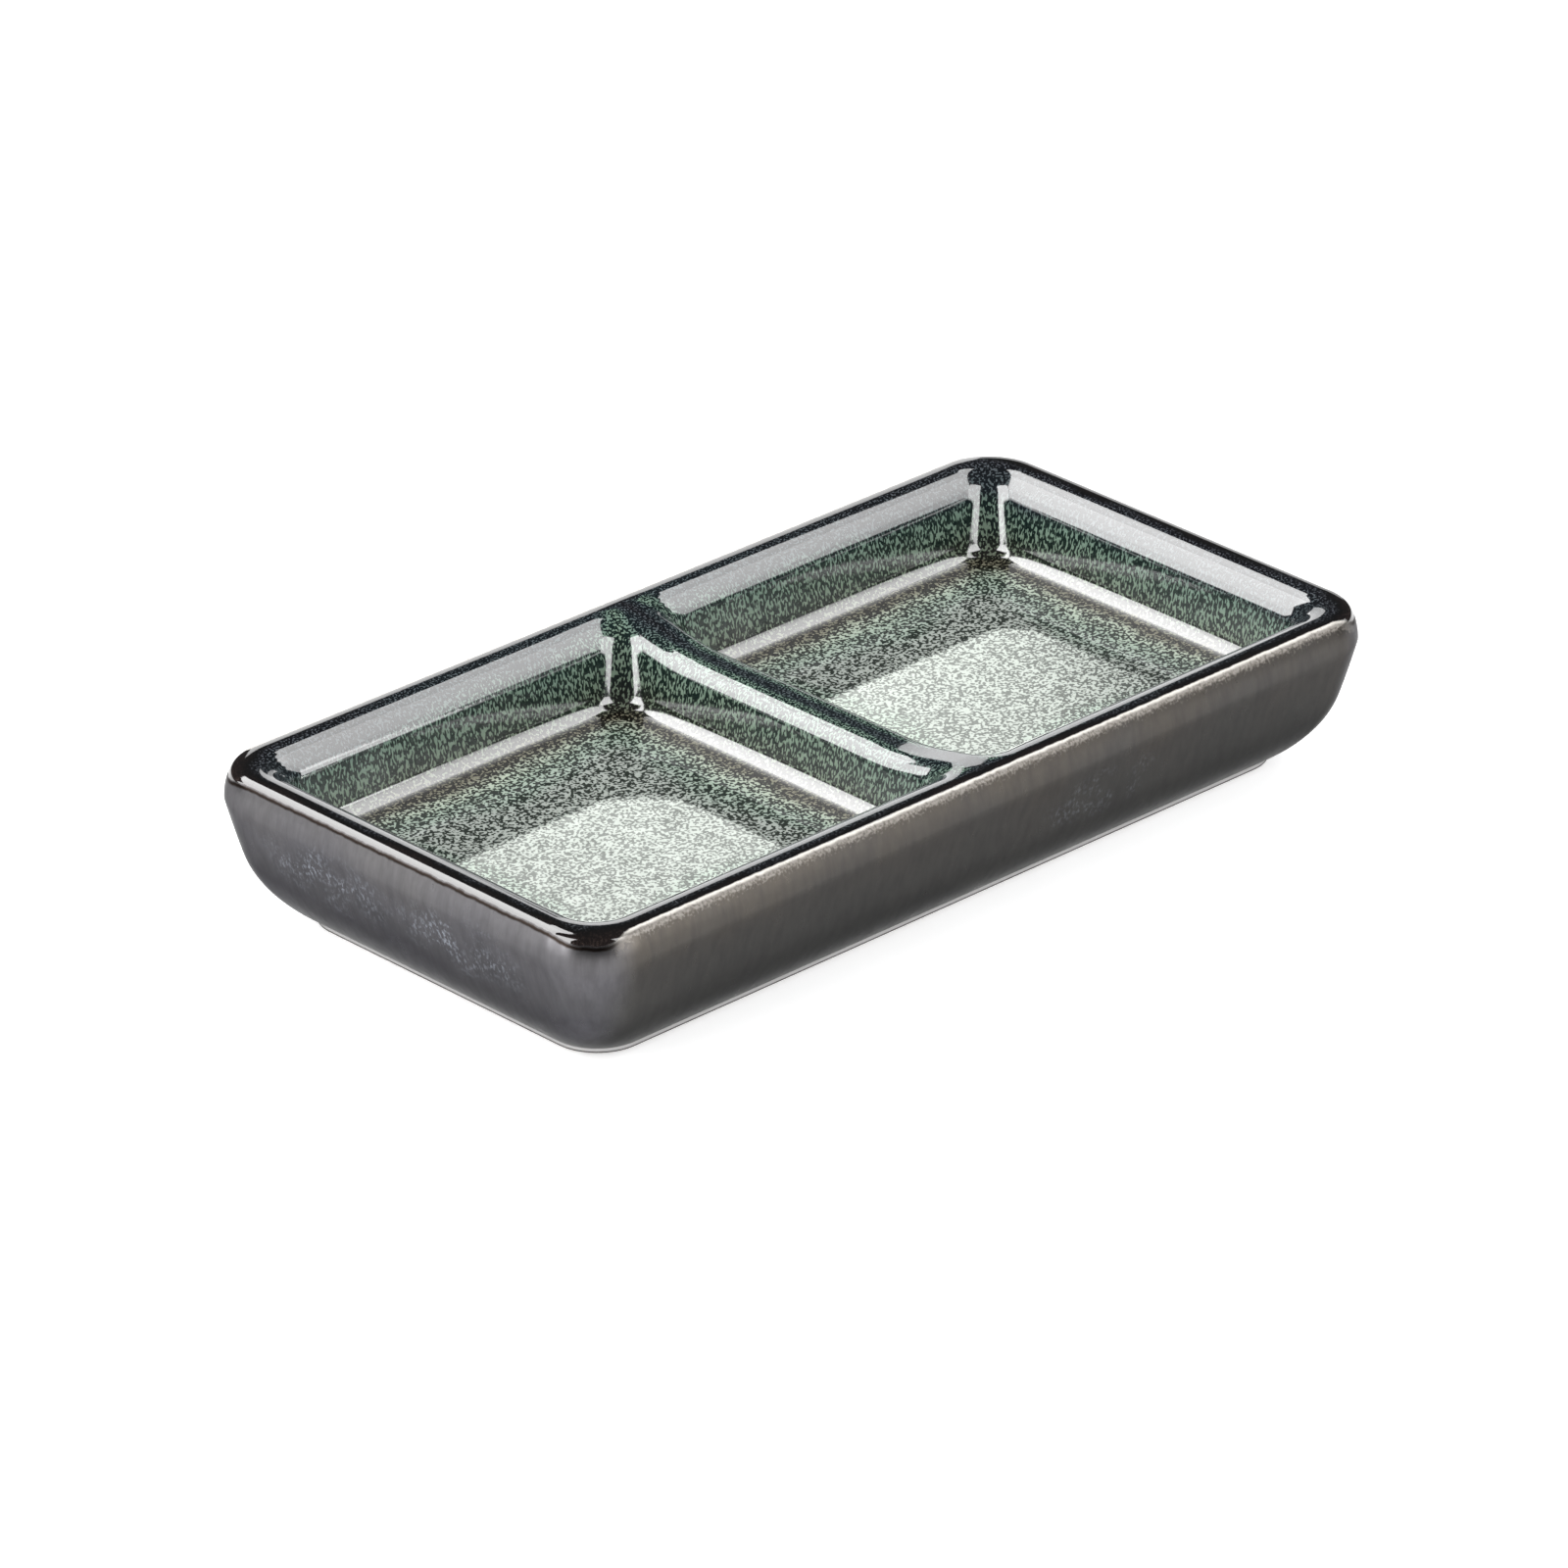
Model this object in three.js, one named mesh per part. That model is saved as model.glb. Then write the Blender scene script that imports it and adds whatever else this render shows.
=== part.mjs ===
// Divided dip bowl: a stoneware dish with two wells, and the fired glaze coats that cover it.
// Millimetres, +Z up. +X runs along the dish, +Y across it. The origin is under the middle of the foot.
import * as THREE from 'three';
import { mergeVertices } from 'three/addons/utils/BufferGeometryUtils.js';

// Driving dimensions of the dish, measured on the glazed faces
const LENGTH = 145;
const WIDTH = 75;
const HEIGHT = 22.5;
const RIM_CORNER = 9; // plan radius of the rim's outer corners
const LEAST_CORNER = 6.7; // plan radius that the corners settle to, further in
const LIP_CROWN = 20; // degrees that the lip's top turns down on its outer side
const LIP_RADIUS = 1.1; // round that follows on the lip's outer edge
const LIP_TURN = 66; // degrees from level at which that round ends
const LIP_BAND = 4.5; // lip's crest down to the edge where the wall begins to lean in
const WALL_LEAN = 14.4; // degrees that the outer wall leans from upright, under that edge
const FOOT_LEAN = 59; // degrees that it leans where it meets the foot
const FOOT_INSET = 8.9; // foot's outer face, in from the rim
const FOOT_HEIGHT = 1.1; // foot's outer face, up to the crease under the wall
const GLAZE_LINE = 0.4; // bare clay below the outer glaze
const FOOT_WIDTH = 3.6; // face that the dish stands on
const RECESS_DEPTH = 3; // hollow of the underside, to the bare clay
const RECESS_ROUND = 2; // round between the foot ring and the hollow's roof

// Driving dimensions of the two wells and of the divider between them
const WELL_DEPTH = 10.65; // lip's crest to the floor
const WELL_DRAFT = 12; // degrees that the well's walls lean from upright
const WELL_CORNER = 4; // plan radius of the upright corners where the wall starts
const WELL_FOOT_CORNER = 5; // plan radius of the same corners where the wall ends
const TEE_CORNER = 4.5; // plan radius of a well's mouth where the divider meets the lip
const INNER_ROLL = 4.8; // round from the lip down into a well
const FLOOR_FILLET = 3.15; // round between wall and floor
const LEAST_FLOOR_CORNER = 0.8; // plan radius that a floor's corners keep
const DIVIDER_LAND = 0.75; // half the flat along the divider's crest
const DIVIDER_ROLL = 3.4; // round on either side of that flat
const DIVIDER_DROP = 2.35; // divider's crest below the lip
const SADDLE_RUN = 16; // length over which the crest rises to the lip
const SADDLE_SPREAD = 6; // reach of that rise along the lip, past the well's corner

// Driving dimensions of the glaze
const COAT = 0.5;
const RIM_COAT_STEPS = 2; // steps of the inner roll that the dark rim coat covers
const BARE_MARGIN = 1.2; // clay left bare round the base coat

// Steps of the rounds
const CORNER_STEPS = 6;
const TEE_STEPS = 6; // an even count: half on the lip, half on the divider
const DIVIDER_STEPS = 6;
const WALL_STEPS = 6;
const BAND_STEPS = 3;
const LIP_STEPS = 3;
const CROWN_STEPS = 2;
const ROLL_STEPS = 5;
const FILLET_STEPS = 4;
const RECESS_STEPS = 3;

const radians = THREE.MathUtils.degToRad;
const { lerp, smoothstep } = THREE.MathUtils;
const { sin, cos, tan, exp, max, abs, PI } = Math;

// Places that follow from the dimensions
const CROWN_ANGLE = radians(LIP_CROWN);
const TURN_ANGLE = radians(LIP_TURN);
const WALL_ANGLE = radians(WALL_LEAN);
const FOOT_ANGLE = radians(FOOT_LEAN);
const BELLY = HEIGHT - LIP_BAND;
const CROWN_EDGE = HEIGHT - INNER_ROLL * (1 - cos(CROWN_ANGLE));
const BAND_TOP = CROWN_EDGE - LIP_RADIUS * (cos(CROWN_ANGLE) - cos(TURN_ANGLE));
const BAND_INSET = (BAND_TOP - BELLY) / tan(TURN_ANGLE) / 2;
const CROWN_INSET = BAND_INSET + LIP_RADIUS * (sin(TURN_ANGLE) - sin(CROWN_ANGLE));
const CREST_INSET = CROWN_INSET + INNER_ROLL * sin(CROWN_ANGLE);
const CREST_HALF_LENGTH = LENGTH / 2 - CREST_INSET;
const CREST_HALF_WIDTH = WIDTH / 2 - CREST_INSET;
const FLOOR_LEVEL = HEIGHT - WELL_DEPTH;
const WALL_TURN = radians(90 - WELL_DRAFT);

// Plan radius of the dish's corners at a given inset: concentric at the rim, easing to the least radius
function cornerAt(inset) {
  const spare = RIM_CORNER - LEAST_CORNER;
  return LEAST_CORNER + spare * exp(-inset / spare);
}

// A station of a section: inset, height, and the outward direction in which the glaze lies on the clay
function station(inset, z, out) {
  return { inset, z, out };
}

// The same station on the clay, one coat deeper
function onClay(s) {
  return { ...s, inset: s.inset - COAT * s.out[0], z: s.z - COAT * s.out[1], glazed: s.inset };
}

// Values from start to end in equal steps
function spread(start, end, steps) {
  return Array.from({ length: steps + 1 }, (_, i) => lerp(start, end, i / steps));
}

// Outer wall: the foot's side above the glaze line, an arc up from the crease, a straight flank to the lip
function wallStations() {
  const drop = BELLY - FOOT_HEIGHT;
  const down = sin(FOOT_ANGLE) - sin(WALL_ANGLE);
  const stretch = FOOT_INSET * cos(WALL_ANGLE) - drop * sin(WALL_ANGLE);
  const radius = stretch / (1 - cos(FOOT_ANGLE - WALL_ANGLE));
  const flank = (drop - radius * down) / cos(WALL_ANGLE);
  const arcTop = flank * sin(WALL_ANGLE);
  const side = spread(FOOT_ANGLE, WALL_ANGLE, WALL_STEPS).map((a) =>
    station(
      arcTop + radius * (cos(WALL_ANGLE) - cos(a)),
      BELLY - flank * cos(WALL_ANGLE) - radius * (sin(a) - sin(WALL_ANGLE)),
      [-cos(a), -sin(a)],
    ),
  );
  side[0].out = [-1, -tan(FOOT_ANGLE / 2)];
  return [station(FOOT_INSET, GLAZE_LINE, [-1, 0]), ...side, station(0, BELLY, [-1, -tan(WALL_ANGLE / 2)])];
}

// Lip: a band that eases inwards from the wall's edge, a tight round, and a gentle crown up to the crest
function lipStations() {
  const band = spread(0, 1, BAND_STEPS).map((t) => {
    const lean = (PI / 2 - TURN_ANGLE) * t;
    return station(BAND_INSET * t ** 2, lerp(BELLY, BAND_TOP, t), [-cos(lean), sin(lean)]);
  });
  band[0].out = [-1, -tan(WALL_ANGLE / 2)];
  const round = spread(TURN_ANGLE, CROWN_ANGLE, LIP_STEPS).map((a) =>
    station(
      CROWN_INSET - LIP_RADIUS * (sin(a) - sin(CROWN_ANGLE)),
      CROWN_EDGE - LIP_RADIUS * (cos(CROWN_ANGLE) - cos(a)),
      [-sin(a), cos(a)],
    ),
  );
  const crown = spread(CROWN_ANGLE, 0, CROWN_STEPS).map((a) =>
    station(CREST_INSET - INNER_ROLL * sin(a), HEIGHT - INNER_ROLL * (1 - cos(a)), [-sin(a), cos(a)]),
  );
  return [...band, ...round.slice(1), ...crown.slice(1)];
}

// Underside, from the roof of the recess: a round down to the foot ring, and the bare sole of the ring
function footStations() {
  const outer = { ...station(FOOT_INSET + COAT, 0, [0, -1]), glazed: FOOT_INSET };
  const inner = outer.inset + FOOT_WIDTH;
  const round = spread(PI / 2, 0, RECESS_STEPS).map((a) =>
    station(inner + RECESS_ROUND * (1 - cos(a)), RECESS_DEPTH - RECESS_ROUND * (1 - sin(a)), [0, -1]),
  );
  return [...round, station(inner, 0, [0, -1]), outer];
}

// A well's section, from the lip's crest down to the floor. Each station has its inset from the lip's crest
// and from the divider's crest, and its height on the lip's side and on the divider's side.
function wellStations() {
  const turnDrop = 1 - cos(WALL_TURN);
  const lean = tan(radians(WELL_DRAFT));
  const lipWall = WELL_DEPTH - (INNER_ROLL + FLOOR_FILLET) * turnDrop;
  const dividerWall = WELL_DEPTH - DIVIDER_DROP - (DIVIDER_ROLL + FLOOR_FILLET) * turnDrop;
  const lipRun = INNER_ROLL * sin(WALL_TURN);
  const dividerRun = DIVIDER_LAND + DIVIDER_ROLL * sin(WALL_TURN);
  const roll = spread(0, WALL_TURN, ROLL_STEPS).map((a) => {
    const left = lipRun - INNER_ROLL * sin(a);
    return {
      inset: INNER_ROLL * sin(a),
      dividerInset: DIVIDER_LAND + DIVIDER_ROLL * sin(a),
      z: HEIGHT - INNER_ROLL * (1 - cos(a)),
      dividerZ: HEIGHT - DIVIDER_DROP - DIVIDER_ROLL * (1 - cos(a)),
      corner: lerp(WELL_CORNER, cornerAt(CREST_INSET), left / lipRun),
      teeCorner: lerp(WELL_CORNER, TEE_CORNER, left / lipRun),
      out: [sin(a), cos(a)],
    };
  });
  const fillet = spread(WALL_TURN, 0, FILLET_STEPS).map((a) => {
    const run = FLOOR_FILLET * (sin(WALL_TURN) - sin(a));
    const z = FLOOR_LEVEL + FLOOR_FILLET * (1 - cos(a));
    const corner = max(LEAST_FLOOR_CORNER, WELL_FOOT_CORNER - run);
    return {
      inset: lipRun + lipWall * lean + run,
      dividerInset: dividerRun + dividerWall * lean + run,
      z,
      dividerZ: z,
      corner,
      teeCorner: corner,
      out: [sin(a), cos(a)],
    };
  });
  return [...roll, ...fillet];
}

// The same well station on the clay, one coat deeper
function wellOnClay(s) {
  const back = COAT * s.out[0];
  const down = COAT * s.out[1];
  return {
    ...s,
    inset: s.inset - back,
    dividerInset: s.dividerInset - back,
    z: s.z - down,
    dividerZ: s.dividerZ - down,
    corner: s.corner + back,
    teeCorner: s.teeCorner + back,
  };
}

// Points of a plan arc
function arc(cx, cy, radius, from, to, steps) {
  return spread(radians(from), radians(to), steps).map((a) => [cx + radius * cos(a), cy + radius * sin(a)]);
}

const WELL = wellStations();
const MOUTH = WELL[0];
const HALF_TEE = TEE_STEPS / 2;

// How far a point has sunk from the lip's height to the divider's: nought at the lip, one on the divider
function sink(x, y) {
  const fromLip = CREST_HALF_WIDTH - abs(y);
  const full = WELL[ROLL_STEPS].dividerInset;
  const none = MOUTH.teeCorner + SADDLE_SPREAD;
  return smoothstep(fromLip, 0, SADDLE_RUN) * (1 - smoothstep(abs(x), full, none));
}

// One ring of a well, on the side given by the sign. A sharp ring follows the crests right into the tee
// where the divider meets the lip.
function wellRing(s, side, sharp = false) {
  const far = CREST_HALF_LENGTH - s.inset;
  const wide = CREST_HALF_WIDTH - s.inset;
  const divider = sharp ? 0 : s.dividerInset;
  const teeX = divider + s.teeCorner;
  const teeY = wide - s.teeCorner;
  const tee = sharp
    ? Array.from({ length: TEE_STEPS + 1 }, (_, i) => [
        s.teeCorner * max(0, 1 - i / HALF_TEE),
        wide - s.teeCorner * max(0, i / HALF_TEE - 1),
      ])
    : arc(teeX, teeY, s.teeCorner, 90, 180, TEE_STEPS);
  const corner = arc(far - s.corner, wide - s.corner, s.corner, 0, 90, CORNER_STEPS);
  const half = [...corner, [teeX + SADDLE_SPREAD, wide], ...tee];
  const crossing = spread(teeY, -teeY, DIVIDER_STEPS).slice(1, -1).map((y) => [divider, y]);
  const mirrored = half.map(([x, y]) => [x, -y]).reverse();
  return [...half, ...crossing, ...mirrored].map(([x, y]) => {
    const z = lerp(s.z, s.dividerZ, sink(x, y));
    return new THREE.Vector3(side * x, y, z);
  });
}

// One ring of the dish's outside. Its long sides carry the points that the wells' crests have there.
function outerRing(s) {
  const glazedInset = s.glazed ?? s.inset;
  const corner = max(LEAST_FLOOR_CORNER, cornerAt(glazedInset) - (s.inset - glazedInset));
  const long = LENGTH / 2 - s.inset;
  const wide = WIDTH / 2 - s.inset;
  const legs = spread(MOUTH.teeCorner, 0, HALF_TEE).slice(0, -1);
  const stops = [MOUTH.teeCorner + SADDLE_SPREAD, ...legs];
  const side = [...stops, 0, ...stops.map((x) => -x).reverse()];
  const half = [
    ...arc(long - corner, wide - corner, corner, 0, 90, CORNER_STEPS),
    ...side.map((x) => [x, wide]),
    ...arc(corner - long, wide - corner, corner, 90, 180, CORNER_STEPS),
  ];
  const ring = [...half, ...half.map(([x, y]) => [-x, -y])];
  return ring.map(([x, y]) => new THREE.Vector3(x, y, s.z));
}

// Triangles between rings of equal count, each pair of rings joined in the order given
function loft(rings) {
  const faces = [];
  for (let k = 0; k + 1 < rings.length; k += 1) {
    const [a, b] = [rings[k], rings[k + 1]];
    for (let i = 0; i < a.length; i += 1) {
      const j = (i + 1) % a.length;
      faces.push([a[i], a[j], b[j]], [a[i], b[j], b[i]]);
    }
  }
  return faces;
}

// A flat lid on a ring, as a fan about its middle
function lid(ring) {
  const middle = new THREE.Vector3();
  ring.forEach((p) => middle.addScaledVector(p, 1 / ring.length));
  return ring.map((p, i) => [p, ring[(i + 1) % ring.length], middle]);
}

// The same triangles facing the other way
function turned(faces) {
  return faces.map(([a, b, c]) => [a, c, b]);
}

// A closed solid from triangles that meet edge to edge. Triangles without area are left out.
function solid(name, faces, look) {
  const key = (p) => p.toArray().map((v) => Math.round(v * 1e4)).join();
  const whole = faces.filter((f) => new Set(f.map(key)).size === 3);
  const geometry = new THREE.BufferGeometry().setFromPoints(whole.flat());
  const mesh = new THREE.Mesh(mergeVertices(geometry, 1e-4), new THREE.MeshStandardMaterial(look));
  mesh.name = name;
  return mesh;
}

const SIDES = { left: -1, right: 1 };
const wall = wallStations();
const lip = lipStations();
const foot = footStations();

// Faces of a well between two of its stations, seen from inside it. A mirrored ring runs the other way.
function wellFaces(side, from, to, clay = false) {
  const rings = WELL.slice(from, to + 1).map((s) => wellRing(clay ? wellOnClay(s) : s, side));
  const faces = loft(rings);
  return side > 0 ? faces : turned(faces);
}

// The well's floor
function floorFaces(side, clay = false) {
  const last = WELL[WELL.length - 1];
  const faces = lid(wellRing(clay ? wellOnClay(last) : last, side));
  return side > 0 ? faces : turned(faces);
}

// The land of a tee, between the crests and the well's rounded mouth
function teeFaces(side, clay = false) {
  const s = clay ? wellOnClay(MOUTH) : MOUTH;
  const faces = loft([wellRing(s, side, true), wellRing(s, side)]);
  return side > 0 ? faces : turned(faces);
}

// The edge of a coat, from its face down to the clay
function wellEdge(side, at) {
  const faces = loft([wellRing(WELL[at], side), wellRing(wellOnClay(WELL[at]), side)]);
  return side > 0 ? faces : turned(faces);
}

function outerFaces(stations) {
  return loft(stations.map(outerRing));
}

function stonewareBody() {
  const roof = foot[0];
  const outside = [...foot, ...[...wall, ...lip].map(onClay)];
  const wells = Object.values(SIDES).flatMap((side) => [
    ...teeFaces(side, true),
    ...wellFaces(side, 0, WELL.length - 1, true),
    ...floorFaces(side, true),
  ]);
  return [...turned(lid(outerRing(roof))), ...outerFaces(outside), ...wells];
}

function rimGlaze() {
  const surface = (clay) => [
    ...outerFaces(clay ? lip.map(onClay) : lip),
    ...Object.values(SIDES).flatMap((side) => [
      ...teeFaces(side, clay),
      ...wellFaces(side, 0, RIM_COAT_STEPS, clay),
    ]),
  ];
  const edges = Object.values(SIDES).flatMap((side) => wellEdge(side, RIM_COAT_STEPS));
  return [...surface(false), ...turned(surface(true)), ...outerFaces([onClay(lip[0]), lip[0]]), ...edges];
}

function wellGlaze(side) {
  const last = WELL.length - 1;
  const surface = (clay) => [...wellFaces(side, RIM_COAT_STEPS, last, clay), ...floorFaces(side, clay)];
  return [...surface(false), ...turned(surface(true)), ...turned(wellEdge(side, RIM_COAT_STEPS))];
}

function outerGlaze() {
  const top = wall[wall.length - 1];
  return [
    ...outerFaces(wall),
    ...turned(outerFaces(wall.map(onClay))),
    ...outerFaces([onClay(wall[0]), wall[0]]),
    ...outerFaces([top, onClay(top)]),
  ];
}

function baseGlaze() {
  const roof = station(foot[0].inset + BARE_MARGIN, RECESS_DEPTH, [0, -1]);
  const face = { ...roof, z: RECESS_DEPTH - COAT };
  return [...turned(lid(outerRing(face))), ...outerFaces([face, roof]), ...lid(outerRing(roof))];
}

const CLAY = { color: 0xb9ada0, roughness: 0.85, metalness: 0 };
const DARK_GLOSS = { color: 0x17120f, roughness: 0.12, metalness: 0.1 };
const CELADON = { color: 0x8fa392, roughness: 0.15, metalness: 0 };
const GUNMETAL = { color: 0x59585c, roughness: 0.38, metalness: 0.6 };

const group = new THREE.Group();
group.name = 'divided_dip_bowl';
group.add(solid('stoneware_body', stonewareBody(), CLAY));
group.add(solid('rim_glaze', rimGlaze(), DARK_GLOSS));
for (const [name, side] of Object.entries(SIDES)) {
  group.add(solid(`${name}_well_glaze`, wellGlaze(side), CELADON));
}
group.add(solid('outer_glaze', outerGlaze(), GUNMETAL));
group.add(solid('base_glaze', baseGlaze(), GUNMETAL));

export default group;
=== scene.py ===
"""Looks of the divided dip bowl: fired glaze coats on a stoneware body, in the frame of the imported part."""

import math
from types import SimpleNamespace

import bpy
import numpy as np
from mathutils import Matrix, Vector


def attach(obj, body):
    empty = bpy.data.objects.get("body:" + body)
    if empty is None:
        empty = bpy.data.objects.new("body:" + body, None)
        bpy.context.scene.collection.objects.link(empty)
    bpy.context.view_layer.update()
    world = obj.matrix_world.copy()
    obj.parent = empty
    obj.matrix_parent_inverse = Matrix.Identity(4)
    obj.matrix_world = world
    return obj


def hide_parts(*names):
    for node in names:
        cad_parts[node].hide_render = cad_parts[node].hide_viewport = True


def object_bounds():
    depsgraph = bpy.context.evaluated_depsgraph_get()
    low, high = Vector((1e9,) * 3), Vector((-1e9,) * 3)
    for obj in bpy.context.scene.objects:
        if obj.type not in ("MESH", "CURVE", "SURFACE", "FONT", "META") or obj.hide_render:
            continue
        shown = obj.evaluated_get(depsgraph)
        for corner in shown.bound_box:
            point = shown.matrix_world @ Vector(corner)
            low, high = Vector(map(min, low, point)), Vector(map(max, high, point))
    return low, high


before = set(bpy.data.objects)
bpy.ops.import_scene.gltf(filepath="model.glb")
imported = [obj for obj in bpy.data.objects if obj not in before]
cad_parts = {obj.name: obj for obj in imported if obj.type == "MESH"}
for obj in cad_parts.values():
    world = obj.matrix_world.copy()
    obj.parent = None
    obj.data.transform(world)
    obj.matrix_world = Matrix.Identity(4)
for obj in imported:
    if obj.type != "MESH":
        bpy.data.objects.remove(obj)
cad_low, cad_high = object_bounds()

# Sizes are in millimetres until a mesh is made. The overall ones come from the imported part.
MM = 0.001
LENGTH, WIDTH, HEIGHT = (cad_high - cad_low) / MM
RIM_CORNER = 9  # plan radius of the rim's outer corners
LEAST_CORNER = 6.7  # plan radius that the corners settle to, further in
LIP_CROWN = math.radians(20)  # how far the lip's top turns down on its outer side
LIP_RADIUS = 1.1  # round that follows
LIP_TURN = math.radians(66)  # angle from level at which that round ends
LIP_BAND = 4.5  # from the crest down to the edge where the wall begins to lean in
WALL_LEAN = math.radians(14.4)  # wall's lean from upright, under that edge
FOOT_LEAN = math.radians(59)  # wall's lean where it meets the foot
FOOT_INSET = 8.9  # of the foot ring, from the dish's outline
FOOT_HEIGHT = 1.1
FOOT_WIDTH = 3.6
FOOT_ROUND = 0.35  # round on both edges of the sole
GLAZE_LINE = 0.4  # the outer coat ends this high above the table
RECESS_DEPTH = 3
RECESS_ROUND = 2  # round where the recess's wall meets its roof
WELL_DEPTH = 10.65
WELL_DRAFT = 12  # lean of a well's walls, in degrees
WELL_CORNER = 4  # plan radius of the corners where the wall starts
WELL_FOOT_CORNER = 5  # and where it ends
TEE_CORNER = 4.5  # plan radius of a well's mouth where the divider meets the lip
INNER_ROLL = 4.8  # round from the lip's crest into a well
FLOOR_FILLET = 2.2  # round from a well's wall to its floor
LEAST_FLOOR_CORNER = 0.8  # plan radius that the floor's corners keep
DIVIDER_LAND = 1.3  # half the width of the level strip on the divider
DIVIDER_ROLL = 2.75  # round from there into a well
DIVIDER_DROP = 2.35  # from the lip's crest down to the divider's
SADDLE_RUN = 16  # length over which the divider's crest rises to the lip
SADDLE_SPREAD = 6  # how far past the tees the drop fades out
COAT = 0.5  # thickness of the glaze
BARE_MARGIN = 1.2  # bare clay round the glaze patch in the recess

# Steps of the meshes
SHORT_STEPS, CORNER_STEPS, LONG_STEPS, TEE_STEPS, DIVIDER_STEPS = 10, 16, 16, 16, 12
FOOT_STEPS, WALL_STEPS, SIDE_STEPS, BAND_STEPS, LIP_STEPS, CROWN_STEPS = 5, 14, 8, 6, 12, 6
ROLL_STEPS, FLANK_STEPS, FILLET_STEPS, FLOOR_STEPS = 20, 6, 14, 6
RECESS_STEPS, SOLE_STEPS, BASE_STEPS = 6, 4, 5
RIM_ROLL_STEPS = 8  # steps of the inner roll that the dark rim coat covers
WELD_DECIMALS = 4  # points that agree to so many decimals are one

# How the depth, which sets a point's colour, runs over the divider
DIVIDER_BREAK = 3.5  # depth at the divider's crest
LAND_BREAK = 3  # how much faster it grows over the level land on the divider and its tees

BELLY = HEIGHT - LIP_BAND
CROWN_EDGE = HEIGHT - INNER_ROLL * (1 - math.cos(LIP_CROWN))
BAND_TOP = CROWN_EDGE - LIP_RADIUS * (math.cos(LIP_CROWN) - math.cos(LIP_TURN))
BAND_INSET = (BAND_TOP - BELLY) / math.tan(LIP_TURN) / 2
CROWN_INSET = BAND_INSET + LIP_RADIUS * (math.sin(LIP_TURN) - math.sin(LIP_CROWN))
CREST_INSET = CROWN_INSET + INNER_ROLL * math.sin(LIP_CROWN)
CREST_HALF_LENGTH = LENGTH / 2 - CREST_INSET
CREST_HALF_WIDTH = WIDTH / 2 - CREST_INSET
FLOOR_LEVEL = HEIGHT - WELL_DEPTH
WALL_TURN = math.radians(90 - WELL_DRAFT)


def corner_at(inset):
    """Plan radius of the dish's corners at a given inset."""
    spare = RIM_CORNER - LEAST_CORNER
    return LEAST_CORNER + spare * math.exp(-inset / spare)


def smoothstep(x, start, end):
    """Nought up to start, one from end on, and an even curve between them."""
    t = np.clip((x - start) / (end - start), 0, 1)
    return t * t * (3 - 2 * t)


def angles(steps, start=0.0, end=math.pi / 2):
    """Even steps from one angle to another, by default over a quarter turn."""
    return np.linspace(start, end, steps + 1)


def travelled(inset, z):
    """Length of a section's line up to each of its stations."""
    return np.concatenate([[0], np.cumsum(np.hypot(np.diff(inset), np.diff(z)))])


def outer_section():
    """Insets and heights of the glazed outside, from the glaze line on the foot up to the lip's crest."""
    run_in = [[math.sin(WALL_LEAN), math.cos(WALL_LEAN) - math.cos(FOOT_LEAN)],
              [math.cos(WALL_LEAN), math.sin(FOOT_LEAN) - math.sin(WALL_LEAN)]]
    side, radius = np.linalg.solve(run_in, [FOOT_INSET, BELLY - FOOT_HEIGHT])
    turn = angles(WALL_STEPS, FOOT_LEAN, WALL_LEAN)
    wall_inset = FOOT_INSET - radius * (np.cos(turn) - math.cos(FOOT_LEAN))
    wall_z = FOOT_HEIGHT + radius * (math.sin(FOOT_LEAN) - np.sin(turn))
    share = np.linspace(1, 0, SIDE_STEPS + 1)[1:]
    band = np.linspace(0, 1, BAND_STEPS + 1)[1:]
    lip = angles(LIP_STEPS, LIP_TURN, LIP_CROWN)[1:]
    crown = angles(CROWN_STEPS, LIP_CROWN, 0)[1:]
    inset = [
        [FOOT_INSET] * FOOT_STEPS,
        wall_inset,
        side * math.sin(WALL_LEAN) * share,
        BAND_INSET * band**2,
        CROWN_INSET - LIP_RADIUS * (np.sin(lip) - math.sin(LIP_CROWN)),
        CREST_INSET - INNER_ROLL * np.sin(crown),
    ]
    z = [
        np.linspace(GLAZE_LINE, FOOT_HEIGHT, FOOT_STEPS + 1)[:-1],
        wall_z,
        BELLY - side * math.cos(WALL_LEAN) * share,
        BELLY + (BAND_TOP - BELLY) * band,
        CROWN_EDGE - LIP_RADIUS * (math.cos(LIP_CROWN) - np.cos(lip)),
        HEIGHT - INNER_ROLL * (1 - np.cos(crown)),
    ]
    return np.concatenate(inset), np.concatenate(z)


OUTER_STRIPS = FOOT_STEPS + WALL_STEPS + SIDE_STEPS  # those of the outer coat; the rim coat has the rest


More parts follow.
